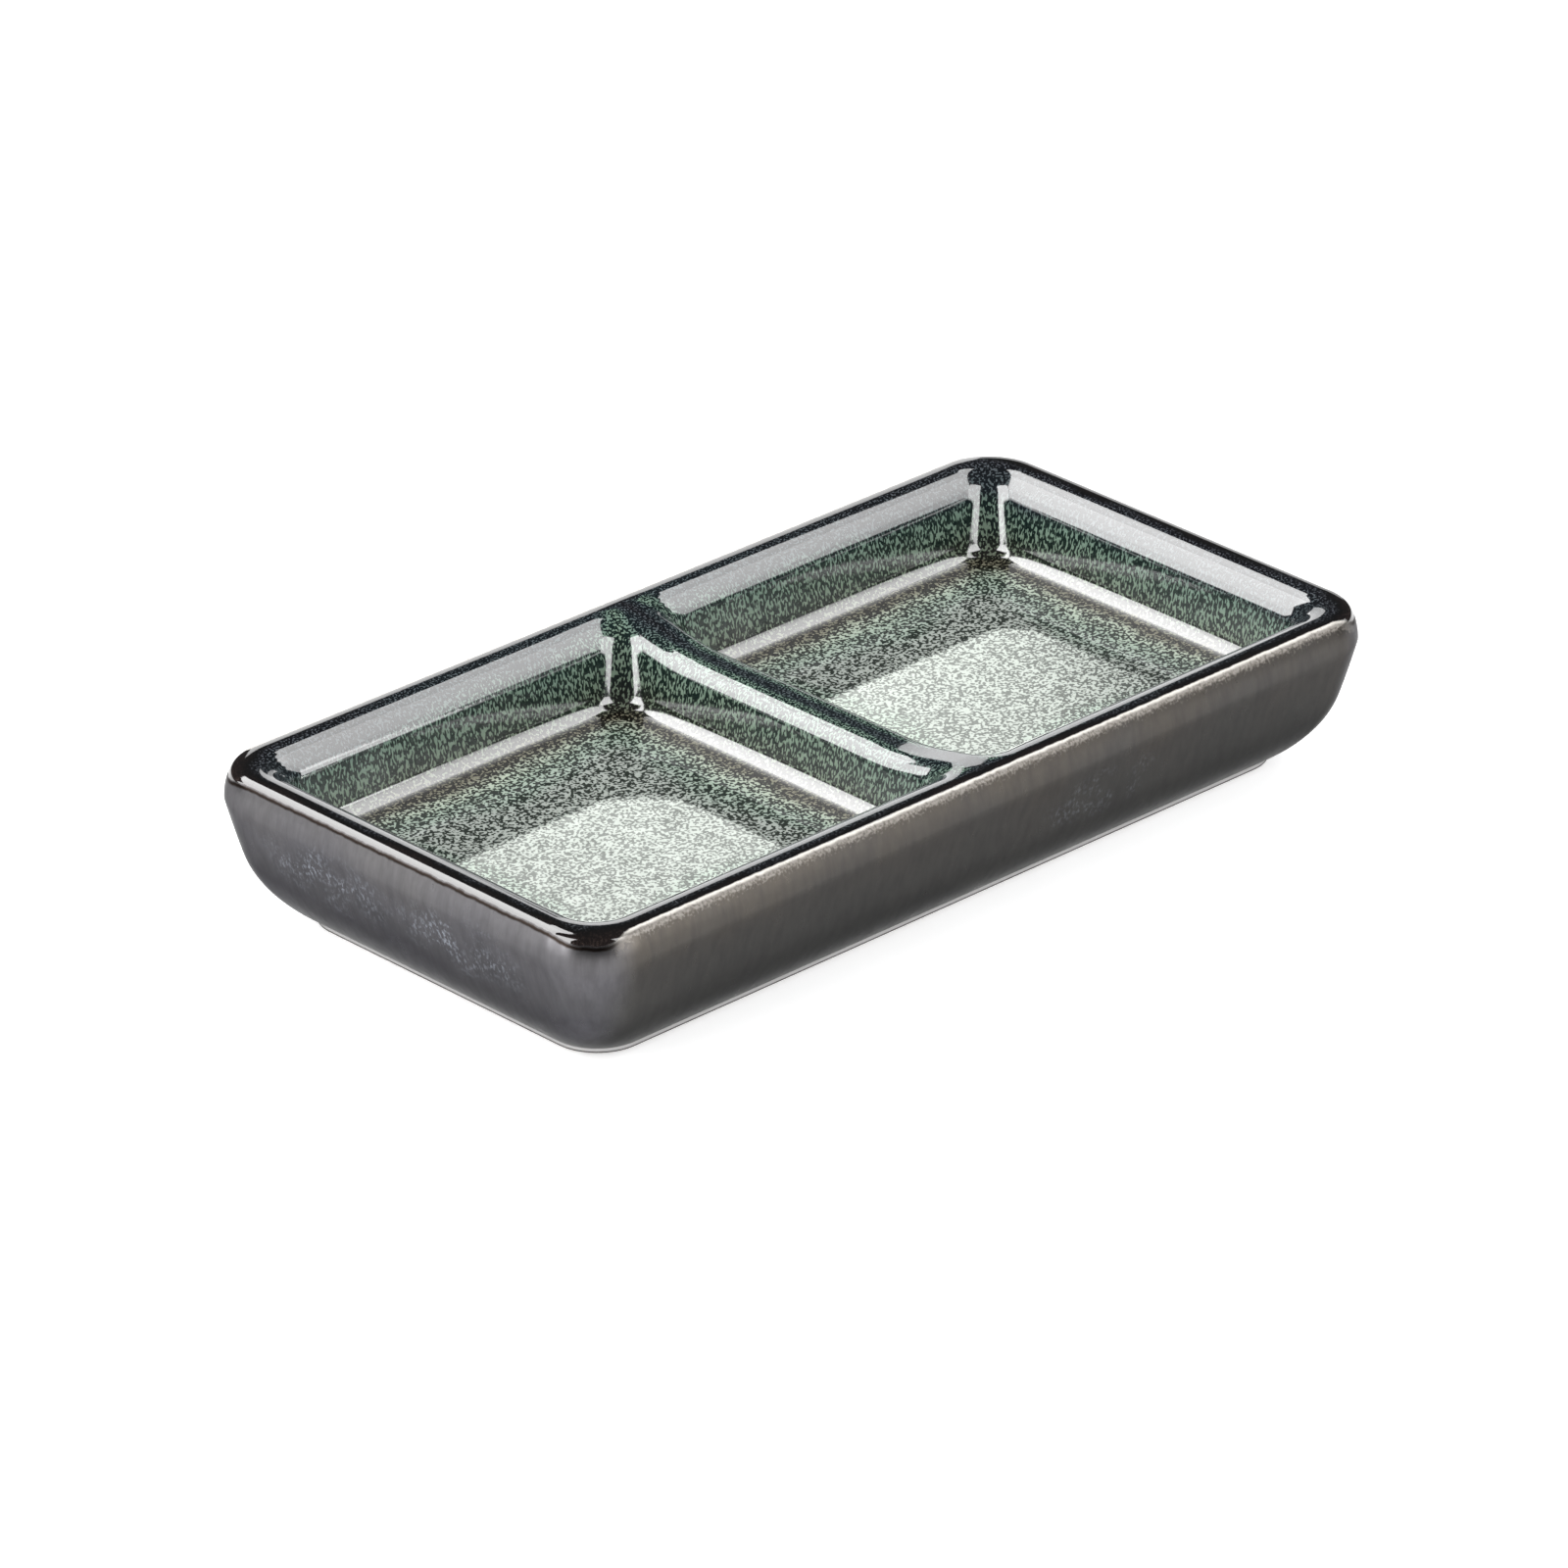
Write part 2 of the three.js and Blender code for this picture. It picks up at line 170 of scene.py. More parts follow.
def well_section():
    """A well's stations from the crest to the floor's edge, on the lip's side and on the divider's."""
    drop = 1 - math.cos(WALL_TURN)
    lean = math.tan(math.radians(WELL_DRAFT))
    lip_wall = WELL_DEPTH - (INNER_ROLL + FLOOR_FILLET) * drop
    divider_wall = WELL_DEPTH - DIVIDER_DROP - (DIVIDER_ROLL + FLOOR_FILLET) * drop
    turn = angles(ROLL_STEPS, 0, WALL_TURN)
    back = angles(FILLET_STEPS, WALL_TURN, 0)
    share = np.linspace(0, 1, FLANK_STEPS + 1)[1:-1]
    fillet_run = FLOOR_FILLET * (math.sin(WALL_TURN) - np.sin(back))
    low = FLOOR_LEVEL + FLOOR_FILLET * (1 - np.cos(back))

    def side(land, roll, crest, wall):
        """Insets and heights past a level land, over the roll, down the wall and through the fillet."""
        inset = land + roll * np.sin(turn)
        z = crest - roll * (1 - np.cos(turn))
        flank = inset[-1] + wall * lean * share
        foot = inset[-1] + wall * lean + fillet_run
        return np.concatenate([inset, flank, foot]), np.concatenate([z, z[-1] - wall * share, low])

    inset, z = side(0, INNER_ROLL, HEIGHT, lip_wall)
    divider_inset, divider_z = side(DIVIDER_LAND, DIVIDER_ROLL, HEIGHT - DIVIDER_DROP, divider_wall)
    left = 1 - np.sin(turn) / math.sin(WALL_TURN)
    flank_corner = WELL_CORNER + (WELL_FOOT_CORNER - WELL_CORNER) * share
    floor_corner = np.maximum(LEAST_FLOOR_CORNER, WELL_FOOT_CORNER - fillet_run)

    def corners(mouth):
        """Plan radii of the corners down a well, from that of its mouth."""
        return np.concatenate([WELL_CORNER + (mouth - WELL_CORNER) * left, flank_corner, floor_corner])

    return SimpleNamespace(
        inset=inset, z=z, divider_inset=divider_inset, divider_z=divider_z,
        corner=corners(corner_at(CREST_INSET)), tee=corners(TEE_CORNER),
    )


WELL = well_section()
MOUTH_TEE = WELL.tee[0]


def run(start, end, steps):
    """Points from start up to, but without, end."""
    share = np.arange(steps)[:, None] / steps
    return np.array(start) + (np.array(end) - np.array(start)) * share


def arc(centre, radius, start, end, steps):
    """Points of a plan arc, without its last one."""
    angle = np.radians(start + (end - start) * np.arange(steps) / steps)
    return np.array(centre) + radius * np.column_stack([np.cos(angle), np.sin(angle)])


def sink(x, y):
    """Share of the drop from the lip to the divider: nought at the lip, one on the divider."""
    full = WELL.divider_inset[ROLL_STEPS]
    along = smoothstep(CREST_HALF_WIDTH - np.abs(y), 0, SADDLE_RUN)
    return along * (1 - smoothstep(np.abs(x), full, MOUTH_TEE + SADDLE_SPREAD))


def well_ring(i, side, sharp=False):
    """One ring of a well. A sharp ring follows the crests right into the tees at the divider's ends."""
    far = CREST_HALF_LENGTH - WELL.inset[i]
    wide = CREST_HALF_WIDTH - WELL.inset[i]
    corner, tee, divider = WELL.corner[i], WELL.tee[i], WELL.divider_inset[i]
    tee_x, tee_y = divider + tee, wide - tee
    half_tee = TEE_STEPS // 2
    if sharp:
        tee_x, divider = tee, 0
        bend = [run((tee, wide), (0, wide), half_tee), run((0, wide), (0, tee_y), half_tee)]
    else:
        bend = [arc((tee_x, tee_y), tee, 90, 180, TEE_STEPS)]
    half = np.vstack([
        run((far, 0), (far, wide - corner), SHORT_STEPS),
        arc((far - corner, wide - corner), corner, 0, 90, CORNER_STEPS),
        run((far - corner, wide), (tee_x, wide), LONG_STEPS),
        *bend,
        run((divider, tee_y), (divider, 0), DIVIDER_STEPS),
        [(divider, 0)],
    ])
    plan = np.vstack([half, half[-2:0:-1] * (1, -1)])
    x, y = plan.T
    z = WELL.z[i] + (WELL.divider_z[i] - WELL.z[i]) * sink(x, y)
    return np.column_stack([side * x, y, z])


def outer_ring(inset, z):
    """One ring of the dish's outside, with the points that the wells' crests have along the long sides."""
    long, wide, corner = LENGTH / 2 - inset, WIDTH / 2 - inset, corner_at(inset)
    part = np.vstack([
        run((long, 0), (long, wide - corner), SHORT_STEPS),
        arc((long - corner, wide - corner), corner, 0, 90, CORNER_STEPS),
        run((long - corner, wide), (MOUTH_TEE, wide), LONG_STEPS),
        run((MOUTH_TEE, wide), (0, wide), TEE_STEPS // 2),
        [(0, wide)],
    ])
    half = np.vstack([part, part[-2::-1] * (-1, 1)])
    plan = np.vstack([half, half[-2:0:-1] * (1, -1)])
    return np.column_stack([plan, np.full(len(plan), z)])


def strip(a, b):
    """Quads between two closed rows of point numbers."""
    return np.column_stack([a, np.roll(a, -1), np.roll(b, -1), b]).tolist()


def lid(row, middle):
    """Triangles from a closed row of point numbers to the number of a point in its middle."""
    return np.column_stack([np.roll(row, -1), row, np.full(len(row), middle)]).tolist()


class Skin:
    """Rings stitched into one welded surface. Each face belongs to a coat, and each point knows its depth:
    how far along the section it lies from the lip's crest, into a well or, below nought, down the outside."""

    def __init__(self):
        self.points, self.depths, self.faces, self.coats = [], [], [], []

    def loft(self, rings, depths, coats, flip=False):
        """Adds rings of equal count and the faces between them; coats names the coat of each strip."""
        start, count = len(self.points), len(rings[0])
        self.points += [p for ring in rings for p in ring]
        self.depths += [d for depth in depths for d in np.broadcast_to(depth, count)]
        for k, coat in enumerate(coats):
            a = start + k * count + np.arange(count)
            self.faces += [tuple(f[::-1] if flip else f) for f in strip(a, a + count)]
            self.coats += [coat] * count

    def weld(self):
        """Joins points at the same place, drops what has no area, and works out a normal for each point."""
        points = np.array(self.points)
        rounded = np.round(points, WELD_DECIMALS)
        _, first, where = np.unique(rounded, axis=0, return_index=True, return_inverse=True)
        where = where.ravel()
        faces = [tuple(dict.fromkeys(where[list(f)].tolist())) for f in self.faces]
        kept = [(f, c) for f, c in zip(faces, self.coats) if len(f) > 2]
        self.faces, self.coats = zip(*kept)
        self.points, self.depths = points[first], np.array(self.depths)[first]
        ends = np.array([(f[0], f[1], f[2], f[-1]) for f in self.faces])
        a, b, c, d = (self.points[ends[:, k]] for k in range(4))
        across = np.cross(c - a, np.where((c == d).all(1)[:, None], c - b, d - b))
        normals = np.zeros_like(self.points)
        for k in range(4):
            np.add.at(normals, ends[:, k], across)
        self.normals = normals / np.linalg.norm(normals, axis=1)[:, None]
        self.clay = self.points - COAT * self.normals


def glazed_skin():
    """The whole glazed surface: the outside, and the two wells with the level land round them."""
    skin = Skin()
    inset, z = outer_section()
    length = travelled(inset, z)
    rings = [outer_ring(*s) for s in zip(inset, z)]
    coats = ["outer"] * OUTER_STRIPS + ["rim"] * (len(rings) - 1 - OUTER_STRIPS)
    skin.loft(rings, length - length[-1], coats)
    down = travelled(WELL.inset, WELL.z)
    for side, name in ((-1, "left"), (1, "right")):
        flip = side < 0
        crest, mouth = well_ring(0, side, sharp=True), well_ring(0, side)
        crest_depth = DIVIDER_BREAK * sink(*crest[:, :2].T)
        land = crest_depth + LAND_BREAK * np.linalg.norm(mouth - crest, axis=1)
        skin.loft([crest, mouth], [crest_depth, land], ["rim"], flip)
        well = [well_ring(i, side) for i in range(len(down))]
        strips = len(well) - 1
        coats = ["rim"] * RIM_ROLL_STEPS + [name] * (strips - RIM_ROLL_STEPS)
        skin.loft(well, [d + land * (1 - d / down[-1]) ** 2 for d in down], coats, flip)
        edge = well[-1]
        middle = np.array([edge[:, 0].min() + np.ptp(edge[:, 0]) / 2, 0, edge[0, 2]])
        reach = np.linalg.norm(edge - middle, axis=1)
        floor, floor_depth = [], []
        for left in np.linspace(1, 0, FLOOR_STEPS + 1):
            floor.append(middle + (edge - middle) * left)
            floor_depth.append(down[-1] + reach * (1 - left))
        skin.loft(floor, floor_depth, [name] * FLOOR_STEPS, flip)
    skin.weld()
    return skin


SKIN = glazed_skin()


def make_object(name, points, faces, normals=None, depths=None):
    """A smooth mesh object from points in millimetres. Normals are one for each face corner."""
    mesh = bpy.data.meshes.new(name)
    mesh.from_pydata(np.asarray(points) * MM, [], faces)
    mesh.shade_smooth()
    if depths is not None:
        depth = mesh.attributes.new("depth", "FLOAT", "POINT")
        depth.data.foreach_set("value", np.asarray(depths, np.float32))
    if normals is not None:
        mesh.normals_split_custom_set(normals)
    thing = bpy.data.objects.new(name, mesh)
    bpy.context.scene.collection.objects.link(thing)
    return thing


def coat_object(name, coat):
    """One coat as a closed solid: its face, its clay side, and the edge between them."""
    faces = [f for f, c in zip(SKIN.faces, SKIN.coats) if c == coat]
    used = sorted({p for f in faces for p in f})
    number = {p: i for i, p in enumerate(used)}
    count = len(used)
    front = [tuple(number[p] for p in f) for f in faces]
    back = [tuple(p + count for p in reversed(f)) for f in front]
    ways = {(f[k - 1], f[k]) for f in front for k in range(len(f))}
    edges = [(b, a, a + count, b + count) for a, b in ways if (b, a) not in ways]
    points = np.vstack([SKIN.points[used], SKIN.clay[used]])
    out = SKIN.normals[used]
    normals = [out[p] for f in front for p in f] + [-out[p - count] for f in back for p in f]
    for f in edges:
        a, b, c, d = points[list(f)]
        across = np.cross(c - a, d - b)
        normals += [across / np.linalg.norm(across)] * 4
    return make_object(name, points, front + back + edges, normals, np.tile(SKIN.depths[used], 2))


def foot_section():
    """Insets and heights of the bare clay, from the recess's roof over the foot ring to its outer edge."""
    outer = FOOT_INSET + COAT
    inner = outer + FOOT_WIDTH
    roof = angles(RECESS_STEPS, math.pi / 2, 0)
    bend = angles(SOLE_STEPS)
    inset = [
        inner + RECESS_ROUND * (1 - np.cos(roof)),
        inner - FOOT_ROUND * (1 - np.cos(bend)),
        outer + FOOT_ROUND * (1 - np.sin(bend)),
    ]
    z = [
        RECESS_DEPTH - RECESS_ROUND * (1 - np.sin(roof)),
        FOOT_ROUND * (1 - np.sin(bend)),
        FOOT_ROUND * (1 - np.cos(bend)),
    ]
    return np.concatenate(inset), np.concatenate(z)


def body_object(name):
    """The clay: the underside, and everything that the coats cover."""
    rings = [outer_ring(*s) for s in zip(*foot_section())]
    count, skinned = len(rings[0]), len(SKIN.clay)
    rows = [skinned + k * count + np.arange(count) for k in range(len(rings))]
    glaze_line = outer_ring(FOOT_INSET, GLAZE_LINE)
    rows.append(np.array([np.argmin(np.linalg.norm(SKIN.points - p, axis=1)) for p in glaze_line]))
    points = np.vstack([SKIN.clay, *rings, rings[0].mean(0)])
    faces = list(SKIN.faces) + lid(rows[0], len(points) - 1)
    for a, b in zip(rows, rows[1:]):
        faces += strip(a, b)
    return make_object(name, points, faces)


def base_object(name):
    """The glaze patch in the recess, with a rounded edge."""
    inset = FOOT_INSET + COAT + FOOT_WIDTH + RECESS_ROUND + BARE_MARGIN
    bend = angles(BASE_STEPS, math.pi / 2, 0)
    rings = [outer_ring(inset + COAT * (1 - math.cos(a)), RECESS_DEPTH - COAT * math.sin(a)) for a in bend]
    count = len(rings[0])
    rows = [k * count + np.arange(count) for k in range(len(rings))]
    points = np.vstack([*rings, rings[0].mean(0), rings[-1].mean(0)])
    faces = lid(rows[0], len(points) - 2) + lid(rows[-1][::-1], len(points) - 1)
    for a, b in zip(rows, rows[1:]):
        faces += strip(a, b)
    return make_object(name, points, faces)


PIECES = {
    "stoneware_body": body_object("clay_body"),
    "rim_glaze": coat_object("rim_coat", "rim"),
    "left_well_glaze": coat_object("left_well_coat", "left"),
    "right_well_glaze": coat_object("right_well_coat", "right"),
    "outer_glaze": coat_object("outer_coat", "outer"),
    "base_glaze": base_object("base_coat"),
}
for node, piece in PIECES.items():
    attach(piece, "root")
    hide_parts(node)


class Nodes:
    """Adds nodes to a tree. An input given as a socket is linked, and any other value is set."""

    def __init__(self, owner):
        owner.use_nodes = True
        self.tree = owner.node_tree
        self.tree.nodes.clear()

    def add(self, kind, inputs=(), **settings):
        made = self.tree.nodes.new("ShaderNode" + kind)
        for key, value in settings.items():
            setattr(made, key, value)
        for key, value in dict(inputs).items():
            if isinstance(value, bpy.types.NodeSocket):
                self.tree.links.new(value, made.inputs[key])
            else:
                made.inputs[key].default_value = value
        return made

    def math(self, operation, a, b):
        return self.add("Math", {0: a, 1: b}, operation=operation).outputs[0]

    def noise(self, vector, period, detail=2.0, roughness=0.5):
        """Noise whose blotches are about a period wide, in metres."""
        inputs = {"Vector": vector, "Scale": 1 / period, "Detail": detail, "Roughness": roughness}
        return self.add("TexNoise", inputs).outputs["Fac"]

    def stretched(self, vector, scale):
        return self.add("Mapping", {"Vector": vector, "Scale": scale}).outputs[0]

    def ranged(self, value, start, end, low=0.0, high=1.0, smooth=False):
        """A value from start to end, mapped from low to high and held there outside."""
        kind = "SMOOTHSTEP" if smooth else "LINEAR"
        inputs = {"Value": value, "From Min": start, "From Max": end, "To Min": low, "To Max": high}
        return self.add("MapRange", inputs, interpolation_type=kind).outputs[0]

    def spread(self, noise, low, high):
        """A noise, which mostly lies from 0.3 to 0.7, stretched from low to high."""
        return self.ranged(noise, 0.3, 0.7, low, high)

    def ramp(self, value, stops):
        """Colours, or greys given as numbers, at places from nought to one."""
        made = self.add("ValToRGB", {"Fac": value})
        elements = made.color_ramp.elements
        while len(elements) < len(stops):
            elements.new(1.0)
        for element, (place, colour) in zip(elements, stops):
            element.position = place
            element.color = (*colour, 1) if isinstance(colour, tuple) else (colour, colour, colour, 1)
        return made.outputs["Color"]

    def blend(self, share, a, b):
        """Colour a where the share is nought, and b where it is one."""
        made = self.add("Mix", {0: share, 6: a, 7: b}, data_type="RGBA")
        return made.outputs[2]

    def relief(self, height, strength, distance):
        """Normals that make a height from nought to one look like bumps."""
        return self.add("Bump", {"Height": height, "Strength": strength, "Distance": distance}).outputs[0]

    def finish(self, shader, kind):
        """Links a shader to the output of a material or a world."""
        out = self.add("Output" + kind)
        self.tree.links.new(shader.outputs[0], out.inputs["Surface"])


# The liner and the lip
WALL_SPECKLE, FLOOR_SPECKLE = 0.30 * MM, 0.40 * MM
SPECK_EDGE = 0.035  # softness of a speck's edge
STREAK = 0.4  # how far the speckle is drawn out down a wall
ZONE_WANDER = 9 * MM  # width of the waves in which the zones' borders run
LINER_WAVE, LINER_HAZE = 1.1 * MM, 3 * MM  # periods of the liner's relief and of its roughness
LINER_RELIEF, RUN_RELIEF, GLAZE_BUMP = 0.05, 0.035, 0.1 * MM  # strengths inside and outside, and height
WALL_FOOT = 13.5  # depth, in millimetres, at which a well's wall ends in the floor
LONG_BREAK, END_BREAK, CORNER_BREAK = -1.1, -2.0, -2.9  # depths at which the lip's black passes into metal
BREAK_RUN = 0.28  # and the run, in millimetres, over which it does
BREAK_WANDER = 1.5 * MM  # width of the waves in which its edge runs
BRONZE_RUN = 1.9  # width of the bronze edge that follows on the long sides
BRONZE_DUST = 0.4 * MM  # grain in which that edge fades
PAINTED_HIGHLIGHT_LINE, BRONZE = (0.60, 0.57, 0.52, 1), (0.105, 0.092, 0.077, 1)  # painted highlight line at the break, and the bronze edge's own tone under it
SEAM = (0.016, 0.012, 0.010, 1)  # dark line under the break on the short sides

# Shine of the liner over the last of a wall, where the glaze pools, and down to the floor, where it is dull
POOLED_SHINE = [(0.0, 0.5), (0.25, 0.75), (0.6, 0.75), (0.95, 0.06)]

# The outer glaze: its tones by height, nought at the foot and one at the lip, are bluish on the short sides
# and warm on the long ones. How they change with height is partly the glaze's own tone and partly painted
# shade: darker over the lower wall, lighter towards the lip.
BLUE_TONES = [
    (0.07, (0.088, 0.087, 0.096)), (0.33, (0.058, 0.057, 0.063)), (0.50, (0.071, 0.070, 0.075)),
    (0.68, (0.092, 0.090, 0.097)), (1.00, (0.102, 0.099, 0.101)),
]
WARM_TONES = [
    (0.10, (0.041, 0.041, 0.041)), (0.25, (0.047, 0.047, 0.046)), (0.49, (0.057, 0.056, 0.054)),
    (0.74, (0.061, 0.058, 0.055)), (1.00, (0.068, 0.061, 0.053)),
]
TURN_START, TURN_END = 9, 4  # distances from the dish's end between which one passes into the other
EDGE_TINT = (0.5, 0.5, 0.5, 1)  # keeps the metal from turning to a mirror at a flat angle
CLOUD = 14 * MM  # width of the drifts in which the tones change
RUN_WIDTH, RUN_DRAWN, RUN_TONE = 1.3 * MM, 0.18, (0.030, 0.028, 0.030, 1)  # dark runs down the wall
FRECKLE, FRECKLE_DRAWN, FRECKLE_TONE = 0.5 * MM, 0.6, (0.27, 0.29, 0.33, 1)
DRIFT = 5 * MM  # width of the drifts that the freckles lie in
CLUSTERS = [(-72, 13, 14), (-72, -12, 14), (20, -28, 13), (72, -8, 14), (-25, 28, 13)]  # their middles
CLUSTER_CORE, CLUSTER_REACH = 2, 10  # full inside the one, none past the other
CLUSTER_SHAPE = Vector((0.7, 0.7, 1.8))  # clusters are wide and low
PAINTED_FOOT_REFLECTION, PAINTED_CONTACT_SHADOW = (0.46, 0.455, 0.45, 1), (0.07, 0.066, 0.064, 1)  # painted reflection on the foot's side; painted contact shadow, a dark line where the glaze ends

# The bare clay
SAND, IRON, CLAY_CLOUD = 0.35 * MM, 0.5 * MM, 11 * MM
CLAY_TONES = [(0.0, (0.36, 0.31, 0.26)), (1.0, (0.50, 0.45, 0.39))]
SAND_TONE, IRON_TONE = (0.58, 0.54, 0.48, 1), (0.09, 0.06, 0.045, 1)
SAND_RELIEF, SAND_BUMP = 0.4, 0.15 * MM

# Zones of the inside: depth from the lip's crest in millimetres, light colour, dark colour, dark share
ZONES = [
    (-4.6, (0.040, 0.028, 0.024), (0.016, 0.010, 0.009), 0.60),
    (-0.5, (0.004, 0.003, 0.003), (0.002, 0.002, 0.002), 0.60),
    (0.3, (0.055, 0.060, 0.068), (0.003, 0.003, 0.004), 0.59),
    (5.2, (0.065, 0.085, 0.088), (0.004, 0.007, 0.009), 0.57),
    (7.0, (0.14, 0.205, 0.165), (0.004, 0.011, 0.010), 0.545),
    (10.5, (0.155, 0.210, 0.158), (0.005, 0.011, 0.009), 0.535),
    (13.2, (0.16, 0.190, 0.140), (0.010, 0.009, 0.006), 0.56),
    (14.8, (0.17, 0.160, 0.115), (0.008, 0.006, 0.004), 0.57),
    (16.4, (0.19, 0.185, 0.135), (0.007, 0.006, 0.004), 0.57),
    # Painted light: the pale strip at 18.6 is a painted reflection of the walls' highlight in the floor, and
    # the band from 21 to 24, a little darker, is a painted dark reflection
    (18.6, (0.37, 0.425, 0.345), (0.007, 0.009, 0.006), 0.525),
    (21.0, (0.27, 0.335, 0.275), (0.005, 0.010, 0.007), 0.54),
    (24.0, (0.26, 0.315, 0.270), (0.006, 0.011, 0.008), 0.53),
    (27.0, (0.28, 0.305, 0.28), (0.010, 0.014, 0.011), 0.51),
    (40.0, (0.28, 0.305, 0.28), (0.010, 0.014, 0.011), 0.50),
]


def new_material(name):
    """An empty material, its nodes, and the place of each point in the dish's frame."""
    material = bpy.data.materials.new(name)
    n = Nodes(material)
    return material, n, n.add("TexCoord").outputs["Object"]


def depth_of(n):
    """How far each point lies from the lip's crest, in millimetres."""
    return n.add("Attribute", attribute_name="depth").outputs["Fac"]


def speckle(n, place, depth):
    """Colour of the liner glaze: dark speckle on green, which breaks to black over the lip."""
    first, last = ZONES[0][0], ZONES[-1][0]
    wander = n.spread(n.noise(place, ZONE_WANDER, 3.0), -0.02, 0.02)
    zone = n.math("ADD", n.ranged(depth, first, last), wander)
    spots = [(d - first) / (last - first) for d, *_ in ZONES]
    light, dark, share = (n.ramp(zone, [(s, z[k]) for s, z in zip(spots, ZONES)]) for k in (1, 2, 3))
    fine = n.noise(n.stretched(place, (1, 1, STREAK)), WALL_SPECKLE, 0.6)
    coarse = n.noise(place, FLOOR_SPECKLE, 0.6)
    grain = n.blend(n.ranged(depth, WALL_FOOT - 3, WALL_FOOT), fine, coarse)
    speck = n.ranged(n.math("SUBTRACT", share, grain), -SPECK_EDGE, SPECK_EDGE, smooth=True)
    return n.blend(speck, light, dark)


def towards(n, place, axis, half):
    """One where the dish ends on that axis, nought further in."""
    out = n.math("ABSOLUTE", n.add("SeparateXYZ", {0: place}).outputs[axis], 0.0)
    return n.ranged(out, (half - TURN_START) * MM, (half - TURN_END) * MM, smooth=True)


def at_ends(n, place):
    """One on the dish's short sides and round its corners, nought on its long sides."""
    return towards(n, place, "X", LENGTH / 2)


def clustered(n, place):
    """One in the middle of the freckles' clusters, nought away from them."""
    shaped, cluster = n.stretched(place, CLUSTER_SHAPE), 0.0
    for spot in CLUSTERS:
        middle = Vector(spot) * CLUSTER_SHAPE * MM
        away = n.add("VectorMath", {0: shaped, 1: middle}, operation="DISTANCE").outputs["Value"]
        cluster = n.math("MAXIMUM", cluster, n.ranged(away, CLUSTER_REACH * MM, CLUSTER_CORE * MM))
    return cluster


def metal(n, place):
    """Colour and roughness of the outer glaze, and the height of its runs. It has faint dark runs and
    clusters of pale freckles, and a painted reflection makes it pale on the foot's side, down to a painted
    contact shadow where it ends."""
    z = n.add("SeparateXYZ", {0: place}).outputs["Z"]
    cloud = n.spread(n.noise(place, CLOUD, 3.0), -0.15, 0.15)
    up = n.math("ADD", n.ranged(z, FOOT_HEIGHT * MM, HEIGHT * MM), cloud)
    # Partly painted shade: the tones by height run darker over the lower wall and lighter towards the lip
    ground = n.blend(at_ends(n, place), n.ramp(up, WARM_TONES), n.ramp(up, BLUE_TONES))
    runs = n.noise(n.stretched(place, (1, 1, RUN_DRAWN)), RUN_WIDTH, 3.0, 0.6)
    streaked = n.blend(n.ranged(runs, 0.40, 0.68, 0.0, 0.28), ground, RUN_TONE)
    freckle = n.noise(n.stretched(place, (1, 1, FRECKLE_DRAWN)), FRECKLE, 2.0, 0.6)
    drift = n.ranged(n.noise(place, DRIFT, 3.0), 0.40, 0.62, 0.0, 0.8)
    gathered = n.math("MULTIPLY", drift, clustered(n, place))
    pale = n.math("MULTIPLY", n.ranged(freckle, 0.50, 0.66), gathered)
    freckled = n.blend(pale, streaked, FRECKLE_TONE)
    # Painted reflection: the foot's side is made pale; painted contact shadow: a dark line just above the
    # glaze line
    foot = n.ranged(z, (FOOT_HEIGHT + 0.2) * MM, FOOT_HEIGHT * MM, smooth=True)
    with_foot_reflection = n.blend(foot, freckled, PAINTED_FOOT_REFLECTION)
    contact_shadow = n.ranged(z, (GLAZE_LINE + 0.25) * MM, (GLAZE_LINE + 0.1) * MM, smooth=True)
    colour = n.blend(contact_shadow, with_foot_reflection, PAINTED_CONTACT_SHADOW)
    rough = n.math("ADD", n.spread(runs, 0.27, 0.34), n.ranged(pale, 0.0, 1.0, 0.0, -0.06))
    return colour, rough, runs


def liner_glaze(name):
    """Glossy green liner of a well: a clear coat over a body that is hazy on the floor."""
    material, n, place = new_material(name)
    depth = depth_of(n)
    relief = n.relief(n.noise(place, LINER_WAVE), LINER_RELIEF, GLAZE_BUMP)
    hazy = n.ranged(depth, WALL_FOOT + 2, WALL_FOOT + 6, 0.12, 0.42)
    pooled = n.ranged(depth, WALL_FOOT - 1.5, WALL_FOOT + 1.5)
    shader = n.add("BsdfPrincipled", {
        "Base Color": speckle(n, place, depth),
        "Roughness": n.math("ADD", hazy, n.spread(n.noise(place, LINER_HAZE), -0.03, 0.03)),
        "IOR": 1.6,
        "Specular IOR Level": n.ramp(pooled, POOLED_SHINE),
        "Normal": relief,
        "Coat Weight": n.ranged(depth, WALL_FOOT + 0.9, WALL_FOOT + 1.9, 1.0, 0.35),
        "Coat Roughness": 0.03,
        "Coat IOR": 1.65,
        "Coat Normal": relief,
    })
    n.finish(shader, "Material")
    return material


